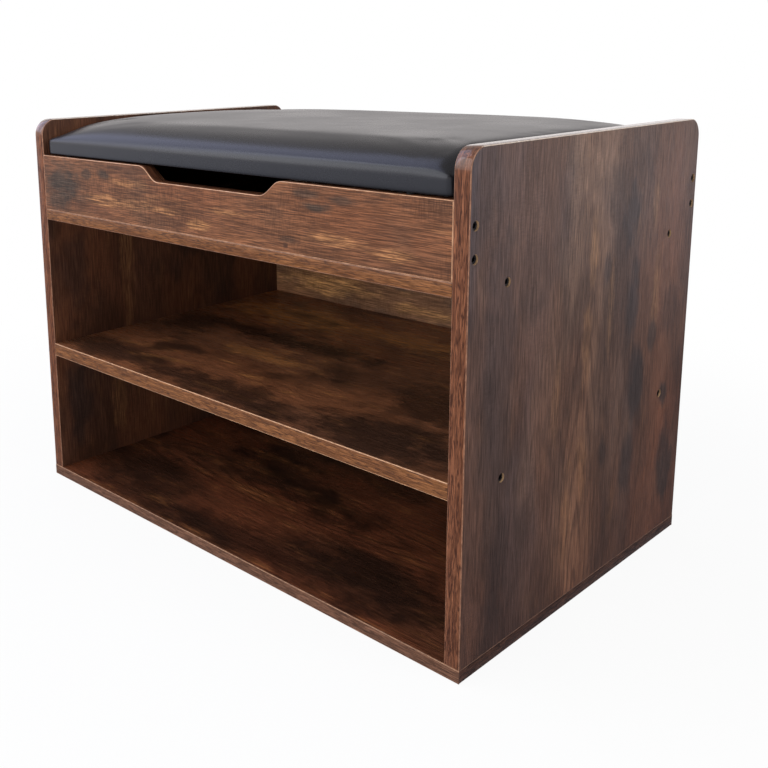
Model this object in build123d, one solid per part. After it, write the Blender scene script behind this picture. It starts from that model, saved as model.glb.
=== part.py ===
"""Entryway bench: two open bays, a shallow storage compartment and a padded lid on hinges.

Millimetres. Z is up, the front is at -Y, and the origin is the middle of the base's underside.
"""
import os

from build123d import *

# Bench as a whole
bench_width = 600
bench_depth = 390
lower_bay_height = 143
upper_bay_height = 150
compartment_height = 63
side_rise = 40

# Boards
board = 15
thin_board = 12
lid_board_thickness = 12
back_board_thickness = 3
edge_band = 1
side_corner_radius = 18
groove_depth = 4
groove_side_play = 0.1
groove_end_play = 0.5

# Finger notch in the front panel
notch_bottom_width = 158
notch_slope_run = 18.5
notch_depth = 15
notch_radius = 18

# Socket screws that hold the boards
screw_head_diameter = 8
screw_head_height = 3
screw_head_recess = 1.5
screw_shank_diameter = 6
screw_length = 46
screw_tip_length = 5
screw_tip_diameter = 2.5
screw_socket_size = 4
screw_socket_depth = 2
screw_play = 0.1
screw_pilot_spare = 1
panel_screw_inset = 18.75
board_screw_inset = 53

# Seat lid
lid_side_gap = 3
lid_front_setback = 3
lid_rear_setback = 3
lid_corner_radius = 8
cover_thickness = 1
cover_fold = 22
shoulder_front_inset = 32
shoulder_side_inset = 20
shoulder_rise = 16
shoulder_radius = 24
crown_front_inset = 86
crown_side_inset = 52
crown_rise = 22.5
crown_radius = 40
top_front_inset = 130
top_side_inset = 95
top_rise = 23.5
top_radius = 40
skin_fit = 0.15

# Staples under the lid
staple_width = 10
staple_wire = 0.7
staple_leg = 6
staple_inset = 12
staple_pitch = 45

# Hinges
hinge_end_inset = 102
hinge_length = 60
hinge_leaf_thickness = 1.2
hinge_leaf_gap = 0.6
hinge_leaf_reach = 18
hinge_knuckle_diameter = 6
hinge_pin_diameter = 3
hinge_pin_play = 0.05
hinge_knuckle_play = 0.3
hinge_pin_head_diameter = 4.4
hinge_pin_head_height = 1
hinge_screw_diameter = 3
hinge_screw_head_diameter = 5.6
hinge_screw_length = 10
hinge_screw_spacing = 38
hinge_screw_play = 0.05

# Bumpers under the front of the lid
bumper_diameter = 8
bumper_end_inset = 42
bumper_rest_gap = 0.2

# Heights that follow
shelf_bottom = thin_board + lower_bay_height
shelf_top = shelf_bottom + board
floor_bottom = shelf_top + upper_bay_height
floor_top = floor_bottom + thin_board
rail_top = floor_top + compartment_height
side_top = rail_top + side_rise
lid_bottom = rail_top + 2 * hinge_leaf_thickness + hinge_leaf_gap
lid_board_bottom = lid_bottom + cover_thickness
lid_board_top = lid_board_bottom + lid_board_thickness
hinge_axis_height = rail_top + hinge_leaf_thickness + hinge_leaf_gap / 2

# Places across and along that follow
half_width = bench_width / 2
inner_half_width = half_width - board
front = -bench_depth / 2
rear = bench_depth / 2
back_board_rear = rear - board
back_board_front = back_board_rear - back_board_thickness
lid_half_width = inner_half_width - lid_side_gap
lid_front = front + lid_front_setback
lid_rear = rear - lid_rear_setback
hinge_place = lid_half_width - hinge_end_inset
hinge_axis_rear = rear + hinge_knuckle_diameter / 2 + hinge_knuckle_play
bumper_place = lid_half_width - bumper_end_inset


def block(low, high):
    """A box between two opposite corners."""
    size = Vector(*high) - Vector(*low)
    middle = (Vector(*high) + Vector(*low)) * 0.5
    return Pos(middle) * Box(size.X, size.Y, size.Z)


def rod(diameter, low, high):
    """An upright cylinder on the Z axis from one height to another."""
    return Pos(0, 0, (low + high) / 2) * Cylinder(diameter / 2, high - low)


def board_screw():
    """A socket screw along Z, with the top of its head at zero and its tip below."""
    neck = screw_head_diameter / 2 - screw_shank_diameter / 2
    outline = Polyline(
        (0, 0),
        (screw_head_diameter / 2, 0),
        (screw_head_diameter / 2, -screw_head_height + neck),
        (screw_shank_diameter / 2, -screw_head_height),
        (screw_shank_diameter / 2, screw_tip_length - screw_length),
        (screw_tip_diameter / 2, -screw_length),
        (0, -screw_length),
        close=True,
    )
    body = revolve(Plane.XZ * make_face(outline), Axis.Z)
    socket = extrude(RegularPolygon(screw_socket_size / 2, 6, major_radius=False), -screw_socket_depth)
    return body - socket


def board_screw_hole():
    """The drilled hole for that screw, up through the face that its head is sunk below."""
    head = rod(screw_head_diameter + 2 * screw_play, -screw_head_height, screw_head_recess)
    shank = rod(
        screw_shank_diameter + 2 * screw_play, -screw_length - screw_pilot_spare, screw_head_recess
    )
    return head + shank


def side_screw_planes(direction):
    """Planes at the screw heads of one side, facing outwards: +1 is the right side, -1 the left."""
    panel_rows = (floor_top + panel_screw_inset, rail_top - panel_screw_inset)
    places = [(y, z) for y in (front + board / 2, rear - board / 2) for z in panel_rows]
    board_rows = ((shelf_bottom + shelf_top) / 2, (floor_bottom + floor_top) / 2)
    places += [(y, z) for y in (front + board_screw_inset, rear - board_screw_inset) for z in board_rows]
    head_x = direction * (half_width - screw_head_recess)
    return [Plane(origin=(head_x, y, z), z_dir=(direction, 0, 0)) for y, z in places]


def base_screw_planes():
    """Planes at the heads of the screws that come up through the base into the sides."""
    rows = (front + board_screw_inset, 0, rear - board_screw_inset)
    columns = (board / 2 - half_width, half_width - board / 2)
    return [Plane(origin=(x, y, screw_head_recess), z_dir=(0, 0, -1)) for x in columns for y in rows]


def placed(planes, shape):
    """The same shape on each of several planes."""
    return [plane * shape for plane in planes]


def all_board_holes():
    """Every hole for a board screw."""
    planes = side_screw_planes(-1) + side_screw_planes(1) + base_screw_planes()
    return placed(planes, board_screw_hole())


def back_board_groove():
    """The space that the back board's edges slide in, in the sides, the base and the compartment floor."""
    reach = inner_half_width + groove_depth
    low = (-reach, back_board_front - groove_side_play, thin_board - groove_depth)
    high = (reach, back_board_rear + groove_side_play, floor_bottom + groove_depth)
    return block(low, high)


def side_outline(inset):
    """The side panel's outline, drawn in by an inset at the front, the rear and the top."""
    bottom = thin_board
    top = side_top - inset
    outline = Pos(0, (bottom + top) / 2) * Rectangle(bench_depth - 2 * inset, top - bottom)
    return fillet(outline.vertices().group_by(Axis.Y)[-1], side_corner_radius - inset)


def side_panel_and_band(direction, holes):
    """One side board and the strip round its front, top and rear edges."""
    inner_face = inner_half_width if direction > 0 else -half_width
    plane = Plane.YZ.offset(inner_face)
    core = extrude(plane * side_outline(edge_band), board)
    whole = extrude(plane * side_outline(0), board)
    return core - holes - back_board_groove(), whole - core


def front_panel_outline(spare):
    """The front panel's outline with its notch, longer by a spare at each end and at its foot."""
    end = inner_half_width + spare
    foot = floor_top - spare
    top = rail_top
    floor = notch_bottom_width / 2
    lip = floor + notch_slope_run
    right_half = [(end, foot), (end, top), (lip, top), (floor, top - notch_depth)]
    left_half = [(-x, z) for x, z in reversed(right_half)]
    outline = make_face(Polyline(*right_half, *left_half, close=True))
    notch_corners = outline.vertices().filter_by(lambda corner: abs(corner.X) < lip + notch_radius)
    return fillet(notch_corners, notch_radius)


def front_panel_and_band(holes):
    """The notched front board and the strip that follows its top edge through the notch."""
    plane = Plane.XZ.offset(-front - board)
    whole = extrude(plane * front_panel_outline(0), board)
    inside = offset(front_panel_outline(edge_band), -edge_band)
    core = extrude(plane * inside, board)
    return core - holes, whole - core


def strip_in_front(half_length, low, high):
    """A straight edge strip on the front of a board."""
    return block((-half_length, front, low), (half_length, front + edge_band, high))


def base_strips():
    """The four edge strips of the base."""
    long_strip = strip_in_front(half_width, 0, thin_board)
    rear_strip = mirror(long_strip, Plane.XZ)
    side_low = (half_width - edge_band, front + edge_band, 0)
    side_high = (half_width, rear - edge_band, thin_board)
    right_strip = block(side_low, side_high)
    return [long_strip, rear_strip, right_strip, mirror(right_strip, Plane.YZ)]


def lid_outline(side_inset, front_inset, radius, height):
    """A rounded rectangle at a height, drawn in from the lid's own outline."""
    width = 2 * (lid_half_width - side_inset)
    depth = lid_rear - lid_front - 2 * front_inset
    middle = (lid_front + lid_rear) / 2
    return Pos(0, middle, height) * RectangleRounded(width, depth, radius)


def pad_form(skin):
    """The crowned form over the lid board, drawn in by a skin's thickness."""
    levels = [
        (0, 0, lid_corner_radius - skin, skin),
        (shoulder_side_inset, shoulder_front_inset, shoulder_radius, shoulder_rise),
        (crown_side_inset, crown_front_inset, crown_radius, crown_rise),
        (top_side_inset, top_front_inset, top_radius, top_rise),
    ]
    sections = [
        lid_outline(side + skin, front_inset + skin, radius, lid_board_top + rise - skin)
        for side, front_inset, radius, rise in levels
    ]
    return loft(sections)


def lid_slab(low, high, inset):
    """A rounded slab of the lid's outline, drawn in by an inset."""
    return extrude(lid_outline(inset, inset, lid_corner_radius - inset, low), high - low)


def seat_cover_shell():
    """The skin over the pad, down the board's edges and folded under it."""
    outside = lid_slab(lid_bottom, lid_board_top, 0) + pad_form(0)
    inside = lid_slab(lid_board_bottom, lid_board_top, cover_thickness) + pad_form(cover_thickness)
    window = extrude(lid_outline(cover_fold, cover_fold, lid_corner_radius, lid_bottom), cover_thickness)
    return outside - inside - window


def one_staple():
    """A wire staple with its crown under the fold and its legs up in the board."""
    crown = Pos(0, 0, -staple_wire / 2) * Box(staple_width, staple_wire, staple_wire)
    leg_x = staple_width / 2 - staple_wire / 2
    leg = Pos(leg_x, 0, staple_leg / 2) * Box(staple_wire, staple_wire, staple_leg)
    return crown + leg + mirror(leg, Plane.YZ)


def staple_row(length):
    """Places along a row of staples, spread evenly about its middle and clear of the corners."""
    count = int((length - 2 * staple_width) / staple_pitch) + 1
    return [(index - (count - 1) / 2) * staple_pitch for index in range(count)]


def clear_of_hinges(x):
    """Whether a staple at this place along the rear misses the hinge leaves."""
    reach = hinge_length / 2 + staple_width
    return abs(abs(x) - hinge_place) > reach


def cover_staples():
    """The staples along the four folded edges of the cover."""
    staple = one_staple()
    row_front = lid_front + staple_inset
    row_rear = lid_rear - staple_inset
    row_side = lid_half_width - staple_inset
    middle = (lid_front + lid_rear) / 2
    across = staple_row(2 * row_side)
    along = staple_row(row_rear - row_front)
    staples = [Pos(x, row_front, lid_bottom) * staple for x in across]
    staples += [Pos(x, row_rear, lid_bottom) * staple for x in across if clear_of_hinges(x)]
    for x in (-row_side, row_side):
        staples += [Pos(x, middle + y, lid_bottom) * Rot(0, 0, 90) * staple for y in along]
    return staples


def hinge_rod(diameter, start, length):
    """A cylinder on the hinge axis, from a place along it."""
    middle = Pos(start + length / 2, hinge_axis_rear, hinge_axis_height)
    return middle * Rot(0, 90, 0) * Cylinder(diameter / 2, length)


def hinge_screw():
    """A countersunk wood screw along Z, with the top of its head at zero and its tip below."""
    outline = Polyline(
        (0, 0),
        (hinge_screw_head_diameter / 2, 0),
        (hinge_screw_diameter / 2, -hinge_leaf_thickness),
        (hinge_screw_diameter / 2, hinge_screw_diameter - hinge_screw_length),
        (0, -hinge_screw_length),
        close=True,
    )
    return revolve(Plane.XZ * make_face(outline), Axis.Z)


def hinge_screw_hole():
    """The countersink and drilled hole for that screw."""
    wide = hinge_screw_head_diameter / 2 + hinge_screw_play
    narrow = hinge_screw_diameter / 2 + hinge_screw_play
    sink = Pos(0, 0, -hinge_leaf_thickness / 2) * Cone(narrow, wide, hinge_leaf_thickness)
    return sink + rod(2 * narrow, -hinge_screw_length, 0)


def hinge_screw_planes(place, facing):
    """Planes at one leaf's screw heads: the rail leaf faces up, +1, and the lid leaf down, -1."""
    leaf_front = hinge_axis_rear - hinge_leaf_reach
    row = (leaf_front + lid_rear) / 2
    height = hinge_axis_height - facing * hinge_leaf_gap / 2
    half = hinge_screw_spacing / 2
    return [Plane(origin=(place + x, row, height), z_dir=(0, 0, facing)) for x in (-half, half)]


def hinge_leaf(place, facing):
    """One leaf with its knuckles: two outer ones on the rail leaf, +1, and the middle one on the lid leaf."""
    start = place - hinge_length / 2
    third = hinge_length / 3
    middle_start = start + third + hinge_knuckle_play
    middle_length = third - 2 * hinge_knuckle_play
    outer = [(start, third), (start + 2 * third, third)]
    inner = [(middle_start, middle_length)]
    own, other = (outer, inner) if facing > 0 else (inner, outer)
    inside_face = hinge_axis_height - facing * hinge_leaf_gap / 2
    outside_face = inside_face - facing * hinge_leaf_thickness
    low = (start, hinge_axis_rear - hinge_leaf_reach, min(inside_face, outside_face))
    high = (start + hinge_length, hinge_axis_rear, max(inside_face, outside_face))
    leaf = block(low, high)
    swept = hinge_knuckle_diameter + 2 * hinge_knuckle_play
    for span_start, span_length in other:
        leaf -= hinge_rod(swept, span_start - hinge_knuckle_play, span_length + 2 * hinge_knuckle_play)
    for span_start, span_length in own:
        leaf += hinge_rod(hinge_knuckle_diameter, span_start, span_length)
    leaf -= hinge_rod(hinge_pin_diameter + 2 * hinge_pin_play, start, hinge_length)
    return leaf - placed(hinge_screw_planes(place, facing), hinge_screw_hole())


def hinge_pin(place):
    """The pin through the knuckles, with a flat head at each end."""
    start = place - hinge_length / 2
    shaft = hinge_rod(hinge_pin_diameter, start, hinge_length)
    left_head = hinge_rod(hinge_pin_head_diameter, start - hinge_pin_head_height, hinge_pin_head_height)
    right_head = hinge_rod(hinge_pin_head_diameter, start + hinge_length, hinge_pin_head_height)
    return shaft + left_head + right_head


def bumpers():
    """Two round pads under the lid, over the front panel's top edge."""
    pad = rod(bumper_diameter, rail_top + bumper_rest_gap, lid_bottom)
    places = (-bumper_place, bumper_place)
    return [Pos(x, front + board / 2, 0) * pad for x in places]


def build_carcass():
    """The fixed boards, their edge strips and their screws."""
    holes = all_board_holes()
    groove = back_board_groove()
    hinge_places = (-hinge_place, hinge_place)
    rail_hole_planes = [plane for place in hinge_places for plane in hinge_screw_planes(place, 1)]
    core_front = front + edge_band

    base_low = (edge_band - half_width, core_front, 0)
    base_high = (half_width - edge_band, rear - edge_band, thin_board)
    left = -inner_half_width
    right = inner_half_width
    shelf = block((left, core_front, shelf_bottom), (right, back_board_front, shelf_top))
    floor = block((left, core_front, floor_bottom), (right, rear, floor_top))
    rail = block((left, rear - board, floor_top), (right, rear, rail_top))
    back_reach = groove_depth - groove_end_play
    back_low = (left - back_reach, back_board_front, thin_board - back_reach)
    back_high = (right + back_reach, back_board_rear, floor_bottom + back_reach)

    left_panel, left_band = side_panel_and_band(-1, holes)
    right_panel, right_band = side_panel_and_band(1, holes)
    front_panel, front_band = front_panel_and_band(holes)
    screw = board_screw()
    return {
        "base_panel": block(base_low, base_high) - holes - groove,
        "base_edge_band": base_strips(),
        "side_panel_left": left_panel,
        "side_panel_right": right_panel,
        "side_edge_band_left": left_band,
        "side_edge_band_right": right_band,
        "middle_shelf": shelf - holes,
        "shelf_edge_band": strip_in_front(inner_half_width, shelf_bottom, shelf_top),
        "compartment_floor": floor - holes - groove,
        "floor_edge_band": strip_in_front(inner_half_width, floor_bottom, floor_top),
        "front_panel": front_panel,
        "front_panel_edge_band": front_band,
        "back_rail": rail - holes - placed(rail_hole_planes, hinge_screw_hole()),
        "back_board": block(back_low, back_high),
        "side_screws_left": placed(side_screw_planes(-1), screw),
        "side_screws_right": placed(side_screw_planes(1), screw),
        "base_screws": placed(base_screw_planes(), screw),
    }


def build_lid():
    """The padded lid with what is fixed to it."""
    hinge_places = (-hinge_place, hinge_place)
    hinge_planes = [plane for place in hinge_places for plane in hinge_screw_planes(place, -1)]
    hinge_holes = placed(hinge_planes, hinge_screw_hole())
    board_inset = cover_thickness + skin_fit
    return {
        "lid_board": lid_slab(lid_board_bottom, lid_board_top, board_inset) - hinge_holes,
        "seat_foam": pad_form(cover_thickness + skin_fit),
        "seat_cover": seat_cover_shell() - hinge_holes,
        "cover_staples": cover_staples(),
        "lid_bumpers": bumpers(),
        "hinge_lid_screws": placed(hinge_planes, hinge_screw()),
    }


def build_hinges():
    """Two butt hinges between the back rail and the lid."""
    nodes = {}
    rail_planes = []
    for name, place in (("left", -hinge_place), ("right", hinge_place)):
        nodes["hinge_rail_leaf_" + name] = hinge_leaf(place, 1)
        nodes["hinge_lid_leaf_" + name] = hinge_leaf(place, -1)
        nodes["hinge_pin_" + name] = hinge_pin(place)
        rail_planes += hinge_screw_planes(place, 1)
    nodes["hinge_rail_screws"] = placed(rail_planes, hinge_screw())
    return nodes


def write_nodes(nodes):
    """Write each named piece, or group of like pieces, to its own file."""
    os.makedirs("parts", exist_ok=True)
    for name, shape in nodes.items():
        node = Compound(children=shape) if isinstance(shape, list) else shape
        export_step(node, f"parts/{name}.step")


write_nodes({**build_carcass(), **build_lid(), **build_hinges()})
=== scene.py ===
# %% [markdown]
# # An entryway bench, dressed in Blender
#
# The bench comes in as a fixed frame: every board, screw and hinge is already at its real size and place.
# This lesson adds what the frame lacks, which is its looks: the printed wood decor, the pale worn arrises of
# the edge strips, the sunk screws, and the black padded lid. Nothing in the frame is moved.

# %% Load the frame
import math

import bmesh
import bpy
from mathutils import Matrix, Vector


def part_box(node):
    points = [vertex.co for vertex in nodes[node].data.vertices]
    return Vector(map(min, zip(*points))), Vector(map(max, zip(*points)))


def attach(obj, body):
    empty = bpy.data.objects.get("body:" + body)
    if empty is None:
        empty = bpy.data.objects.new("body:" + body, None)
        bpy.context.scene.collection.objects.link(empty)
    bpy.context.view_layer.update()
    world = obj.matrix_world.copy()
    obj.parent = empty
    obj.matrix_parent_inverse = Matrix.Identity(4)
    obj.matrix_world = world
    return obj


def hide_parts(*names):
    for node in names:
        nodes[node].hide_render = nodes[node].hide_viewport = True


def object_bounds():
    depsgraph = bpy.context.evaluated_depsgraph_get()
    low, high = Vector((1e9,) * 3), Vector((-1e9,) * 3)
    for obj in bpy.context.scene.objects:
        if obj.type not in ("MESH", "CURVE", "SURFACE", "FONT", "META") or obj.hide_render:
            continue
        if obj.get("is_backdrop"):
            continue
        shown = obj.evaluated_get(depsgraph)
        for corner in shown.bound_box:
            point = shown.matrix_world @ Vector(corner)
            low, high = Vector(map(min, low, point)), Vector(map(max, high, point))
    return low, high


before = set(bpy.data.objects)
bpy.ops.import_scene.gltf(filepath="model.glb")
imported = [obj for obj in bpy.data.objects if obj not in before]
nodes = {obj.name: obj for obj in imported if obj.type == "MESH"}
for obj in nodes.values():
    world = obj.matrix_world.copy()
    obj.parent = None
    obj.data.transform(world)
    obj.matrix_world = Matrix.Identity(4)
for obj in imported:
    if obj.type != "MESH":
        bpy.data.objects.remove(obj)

cad_box = [list(corner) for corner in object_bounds()]
MM = 0.001
print("bench in the frame:", [round((high - low) / MM) for low, high in zip(*cad_box)], "mm")

# %% [markdown]
# ## Camera
#
# The photograph shows the bench from the front right, a little above the seat. A camera could be set by eye,
# but one fitted to the straight edges puts every board where the picture has it. The fit needs a lens shift,
# because the middle of its view lies to the left of the picture's middle, and above it.

# %% Camera
CAMERA_PLACE = Vector((0.7137, -0.7977, 0.5017))
CAMERA_YAW = math.radians(46.25)
CAMERA_PITCH = math.radians(11.55)
CAMERA_ROLL = math.radians(-0.95)
PICTURE_SIZE = 768
FOCAL_PIXELS = 988.6
MIDDLE_PIXEL = (267.2, 258.5)
SENSOR_WIDTH = 36
NEAREST_SEEN = 0.01


def add_object(name, data):
    """Put data into the scene as an object at the origin."""
    made = bpy.data.objects.new(name, data)
    bpy.context.scene.collection.objects.link(made)
    return made


camera = add_object("camera", bpy.data.cameras.new("camera"))
view = camera.data
view.sensor_width = SENSOR_WIDTH
view.lens = SENSOR_WIDTH * FOCAL_PIXELS / PICTURE_SIZE
view.shift_x = 0.5 - MIDDLE_PIXEL[0] / PICTURE_SIZE
view.shift_y = MIDDLE_PIXEL[1] / PICTURE_SIZE - 0.5
view.clip_start = NEAREST_SEEN
turn = Matrix.Rotation(CAMERA_YAW, 4, "Z") @ Matrix.Rotation(math.pi / 2 - CAMERA_PITCH, 4, "X")
camera.matrix_world = Matrix.Translation(CAMERA_PLACE) @ turn @ Matrix.Rotation(CAMERA_ROLL, 4, "Z")
bpy.context.scene.camera = camera
bpy.context.scene.view_settings.view_transform = "Standard"
print("lens", round(view.lens, 1), "mm, shift", round(view.shift_x, 3), round(view.shift_y, 3))

# %% [markdown]
# ## Shader building blocks
#
# Every finish below is a small tree of nodes, so a few helpers keep the trees readable: one adds a node and
# fills or links its inputs, and the others give the sums, blends and ramps that recur. Colours are written
# as they look on a screen, from 0 to 255, and turned into the linear values that shaders use.


# %% Helpers for nodes
def screen(red, green, blue):
    """A screen colour from 0 to 255 as a linear colour with alpha."""
    def linear(value):
        share = value / 255
        return share / 12.92 if share <= 0.04045 else ((share + 0.055) / 1.055) ** 2.4
    return (linear(red), linear(green), linear(blue), 1.0)


def socket_of(sockets, label):
    """A socket by its number, its identifier or its name."""
    if isinstance(label, int):
        return sockets[label]
    by_identifier = {socket.identifier: socket for socket in sockets}
    return by_identifier[label] if label in by_identifier else sockets[label]


def fill(tree, sockets, values):
    """Give sockets their values, and link those whose value is another socket."""
    for label, value in values.items():
        socket = socket_of(sockets, label)
        if isinstance(value, bpy.types.NodeSocket):
            tree.links.new(value, socket)
        else:
            socket.default_value = value


def add_node(tree, kind, inputs=None, **settings):
    """Add a node, set its settings, and fill its inputs."""
    made = tree.nodes.new(kind)
    for name, value in settings.items():
        setattr(made, name, value)
    fill(tree, made.inputs, inputs or {})
    return made


def sum_of(tree, operation, first, second=0.0):
    """One math node."""
    return add_node(tree, "ShaderNodeMath", {0: first, 1: second}, operation=operation).outputs[0]


def times(tree, first, second):
    """The product of two values."""
    return sum_of(tree, "MULTIPLY", first, second)


def plus(tree, first, second):
    """Two values added."""
    return sum_of(tree, "ADD", first, second)


def greater(tree, first, second):
    """The greater of two values."""
    return sum_of(tree, "MAXIMUM", first, second)


def vector_sum(tree, operation, first, second=(0, 0, 0)):
    """One vector math node, which gives a length as a value and all else as a vector."""
    made = add_node(tree, "ShaderNodeVectorMath", {0: first, 1: second}, operation=operation)
    return made.outputs["Value" if operation == "LENGTH" else "Vector"]


def object_place(tree):
    """The Object coordinates, which are metres in the frame."""
    return tree.nodes.new("ShaderNodeTexCoord").outputs["Object"]


def coordinate(tree, place, direction):
    """One coordinate of a place."""
    return add_node(tree, "ShaderNodeSeparateXYZ", {0: place}).outputs[direction]


# %% Helpers for patterns
def ramp(tree, value, low, high, to_low=0.0, to_high=1.0):
    """A smooth ramp of a value between two limits."""
    inputs = {"Value": value, "From Min": low, "From Max": high, "To Min": to_low, "To Max": to_high}
    made = add_node(tree, "ShaderNodeMapRange", inputs, interpolation_type="SMOOTHSTEP")
    return made.outputs["Result"]


def blend(tree, share, first, second, mode="MIX"):
    """A blend of two colours."""
    inputs = {"Factor_Float": share, "A_Color": first, "B_Color": second}
    made = add_node(tree, "ShaderNodeMix", inputs, data_type="RGBA", blend_type=mode)
    return socket_of(made.outputs, "Result_Color")


def tinted(tree, colour, share, first, second):
    """A colour multiplied by a tint that goes from one to another."""
    tint = blend(tree, share, (*first, 1.0), (*second, 1.0))
    return blend(tree, 1.0, colour, tint, "MULTIPLY")


def stretched(tree, place, along, across):
    """A place scaled by one amount along the grain, X, and by another across it."""
    made = add_node(tree, "ShaderNodeMapping", {"Vector": place, "Scale": (along, across, across)})
    return made.outputs["Vector"]


def turned(tree, place, grain):
    """A place turned so that X lies along the grain."""
    return add_node(tree, "ShaderNodeMapping", {"Vector": place, "Rotation": grain}).outputs["Vector"]


def noise(tree, place, scale=1.0, detail=2.0, rough=0.5, output="Fac"):
    """Soft noise at a place."""
    inputs = {"Vector": place, "Scale": scale, "Detail": detail, "Roughness": rough}
    return add_node(tree, "ShaderNodeTexNoise", inputs).outputs[output]


def grain_noise(tree, place, along, across, low, high, detail=2.0, rough=0.5):
    """Noise with so many waves to the metre along and across, and its contrast set by two limits."""
    return ramp(tree, noise(tree, stretched(tree, place, along, across), 1.0, detail, rough), low, high)


def veins(tree, place, along, across, width, detail=1.0):
    """Thin wandering lines: where a stretched noise passes its middle value."""
    level = noise(tree, stretched(tree, place, along, across), detail=detail)
    return ramp(tree, sum_of(tree, "ABSOLUTE", plus(tree, level, -0.5)), width, width / 4)


# %% Helpers for groups and materials
def new_group(name, inputs, outputs):
    """An empty shader group with named sockets, and its inner ends."""
    tree = bpy.data.node_groups.new(name, "ShaderNodeTree")
    kinds = {float: "NodeSocketFloat", tuple: "NodeSocketColor", Vector: "NodeSocketVector"}
    for label, start in inputs.items():
        socket = tree.interface.new_socket(label, in_out="INPUT", socket_type=kinds[type(start)])
        socket.default_value = start
    for label, kind in outputs.items():
        tree.interface.new_socket(label, in_out="OUTPUT", socket_type=kinds[kind])
    return tree, tree.nodes.new("NodeGroupInput").outputs, tree.nodes.new("NodeGroupOutput").inputs


def use_group(tree, group, inputs):
    """Place a shader group in a material with its own values."""
    return add_node(tree, "ShaderNodeGroup", inputs, node_tree=group).outputs


def new_material(name, **shader_values):
    """A material with a Principled shader whose plain values are set on its own sockets."""
    material = bpy.data.materials.new(name)
    material.use_nodes = True
    shader = material.node_tree.nodes["Principled BSDF"].inputs
    for label, value in shader_values.items():
        shader[label.replace("_", " ")].default_value = value
    return material, material.node_tree, shader


def bumped(tree, height, strength, distance=0.3 * MM):
    """A normal tilted by a height field."""
    inputs = {"Height": height, "Strength": strength, "Distance": distance}
    return add_node(tree, "ShaderNodeBump", inputs).outputs["Normal"]


PRINT_LABELS = ("Deep", "Wood", "Warm", "Golden", "Smoke Tint")


def print_colours(*tones):
    """The screen colours of one wood print by the names that its group gives them."""
    return {label: screen(*tone) for label, tone in zip(PRINT_LABELS, tones)}


print("colours of a print:", PRINT_LABELS)

# %% [markdown]
# ## The printed wood decor
#
# The boards are particle board with a printed paper face: a rustic brown oak with fine lines along the grain,
# faint saw marks across it, arched growth figures, golden streaks, and smoky grey clouds. A photograph of
# wood could be mapped on, but a drawn pattern can be laid on any board at its true scale. One shader group
# draws it from a place whose X runs along the grain and Y across it, and each board gives it its own colours
# and amounts.

# %% Wood decor group: lines and zones
SEED_STRIDE = (7.31, 3.17, 1)
GRAIN_WANDER = 6 * MM

decor_inputs = {
    "Place": Vector((0, 0, 0)), "Seed": 0.0, "Smoke": 0.5, "Gold": 0.5, "Arch": 0.5, "Arch Centre": 0.0,
    "Lines": 0.5, "Gold Zone": 0.0, "Smoke Zone": 0.0,
    **print_colours((60, 42, 34), (100, 70, 52), (122, 82, 58), (176, 128, 78), (70, 64, 62)),
}
PRINT_OUTPUTS = {"Colour": tuple, "Shine": float, "Height": float}
decor, given, result = new_group("wood decor", decor_inputs, PRINT_OUTPUTS)
seeded = vector_sum(decor, "ADD", given["Place"], vector_sum(decor, "MULTIPLY", given["Seed"], SEED_STRIDE))

# The grain wanders a little, so all the line patterns share one gently bent place.
wander = noise(decor, stretched(decor, seeded, 4, 9), output="Color")
wander = vector_sum(decor, "SUBTRACT", wander, (0.5, 0.5, 0.5))
wander = vector_sum(decor, "MULTIPLY", wander, (0, GRAIN_WANDER, GRAIN_WANDER))
bent = vector_sum(decor, "ADD", seeded, wander)

hair_lines = grain_noise(decor, bent, 40, 1300, 0.38, 0.62)
fine_lines = grain_noise(decor, bent, 34, 950, 0.38, 0.62, detail=3, rough=0.65)
pores = grain_noise(decor, bent, 90, 1100, 0.58, 0.70)
vein_zones = grain_noise(decor, bent, 20, 90, 0.40, 0.60)
long_veins = times(decor, veins(decor, bent, 16, 430, 0.05, detail=2.0), vein_zones)
saw_zones = grain_noise(decor, bent, 9, 22, 0.40, 0.62)
saw_marks = times(decor, grain_noise(decor, bent, 800, 110, 0.42, 0.62), saw_zones)
tone_zones = grain_noise(decor, bent, 6, 18, 0.36, 0.64, detail=3)
warm_zones = grain_noise(decor, bent, 4, 11, 0.42, 0.60)
gold_zones = grain_noise(decor, bent, 14, 60, 0.54, 0.74, detail=3, rough=0.55)
smoke_clouds = grain_noise(decor, seeded, 11, 17, 0.48, 0.70, detail=5, rough=0.55)
print("lines and zones:", len(decor.nodes), "nodes")

# %% [markdown]
# Arched growth figures are slices through long cones. Rings about a centre line, much longer than wide, draw
# them, and a little noise keeps them from looking turned on a lathe.

# %% Wood decor group: arches and colours
RING_SLENDERNESS = 0.13
RING_PHASE_PER_METRE = 850.0
RING_WOBBLE = 9.0
RING_FADE = (75 * MM, 20 * MM)
ZONE_SHARE = 0.6

centre_line = add_node(decor, "ShaderNodeCombineXYZ", {1: given["Arch Centre"]}).outputs[0]
from_centre = vector_sum(decor, "SUBTRACT", given["Place"], centre_line)
ring_place = vector_sum(decor, "ADD", from_centre, wander)
ring_reach = vector_sum(decor, "LENGTH", vector_sum(decor, "MULTIPLY", ring_place, (RING_SLENDERNESS, 1, 0)))
wobble = times(decor, noise(decor, stretched(decor, bent, 9, 30), detail=3), RING_WOBBLE)
phase = plus(decor, times(decor, ring_reach, RING_PHASE_PER_METRE), wobble)
rings = times(decor, ramp(decor, sum_of(decor, "SINE", phase), 0.1, 1.0), ramp(decor, ring_reach, *RING_FADE))

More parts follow.
